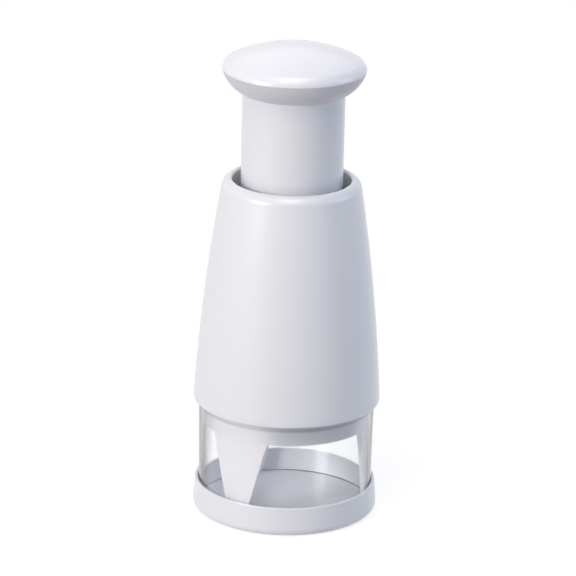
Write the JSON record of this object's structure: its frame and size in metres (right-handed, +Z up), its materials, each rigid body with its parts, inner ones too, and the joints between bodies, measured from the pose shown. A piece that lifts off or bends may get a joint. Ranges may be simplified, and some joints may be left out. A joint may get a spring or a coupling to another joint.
{
  "type": "plunger food chopper",
  "caption": "Tall plunger food chopper: domed knob on a tube, tapered housing, clear cup and tray, with a zigzag blade that turns as it is pressed down.",
  "frame": {"origin": "centre of the tray's underside, on the chopper's axis", "axes": "+Z up along the plunger's axis; -Y faces the camera of the picture"},
  "size_m": [0.09, 0.09, 0.2317],
  "materials": {
    "white_plastic": "smooth satin gloss, cool white",
    "grey_plastic": "light grey, satin",
    "clear_plastic": "clear, polished",
    "steel": "satin steel",
    "rubber": "soft black"
  },
  "bodies": {
    "tray": {"base_tray": "white_plastic"},
    "cup": {"clear_cup": "clear_plastic"},
    "housing": {"housing_shell": "white_plastic", "plunger_guide_ring": "grey_plastic", "guide_column": "grey_plastic", "cam_bush": "grey_plastic", "bulkhead_screws": "steel", "lower_spring_seat": "steel", "stop_bumper": "rubber", "return_spring": "steel", "stripper_frame": "white_plastic"},
    "stripper": {"stripper_disc": "white_plastic"},
    "plunger": {"plunger_tube": "white_plastic", "knob_cap": "white_plastic", "knob_base": "grey_plastic", "push_rod": "steel", "rod_top_screw": "steel", "rod_end_screw": "steel", "rod_end_washer": "steel", "upper_spring_seat": "steel"},
    "rotor": {"cam_tube": "grey_plastic", "pawl_ring": "grey_plastic"},
    "blade_set": {"blade_holder": "grey_plastic", "zigzag_blade": "steel", "ratchet_ring": "grey_plastic"}
  },
  "joints": [
    {"name": "cup_lift", "type": "slide", "parent": "tray", "child": "cup", "axis": [0, 0, 1], "range_m": [0, 0.06]},
    {"name": "housing_lift", "type": "slide", "parent": "cup", "child": "housing", "axis": [0, 0, 1], "range_m": [0, 0.08]},
    {"name": "plunger_press", "type": "slide", "parent": "housing", "child": "plunger", "axis": [0, 0, -1], "range_m": [0, 0.042], "stiffness_N_per_m": 400, "springref_m": -0.03, "deforming": ["return_spring"]},
    {"name": "cam_turn", "type": "hinge", "parent": "plunger", "child": "rotor", "pos_m": [0, 0, 0.1], "axis": [0, 0, -1], "range_deg": [0, 30]},
    {"name": "blade_turn", "type": "hinge", "parent": "plunger", "child": "blade_set", "pos_m": [0, 0, 0.09], "axis": [0, 0, -1], "range_deg": [0, 30]},
    {"name": "stripper_turn", "type": "hinge", "parent": "housing", "child": "stripper", "pos_m": [0, 0, 0.048], "axis": [0, 0, -1], "range_deg": [0, 30]}
  ],
  "couplings": [
    {"joint": "cam_turn", "follows": "plunger_press", "rad_per_m": 12.467},
    {"joint": "blade_turn", "follows": "plunger_press", "rad_per_m": 12.467},
    {"joint": "stripper_turn", "follows": "plunger_press", "rad_per_m": 12.467}
  ]
}
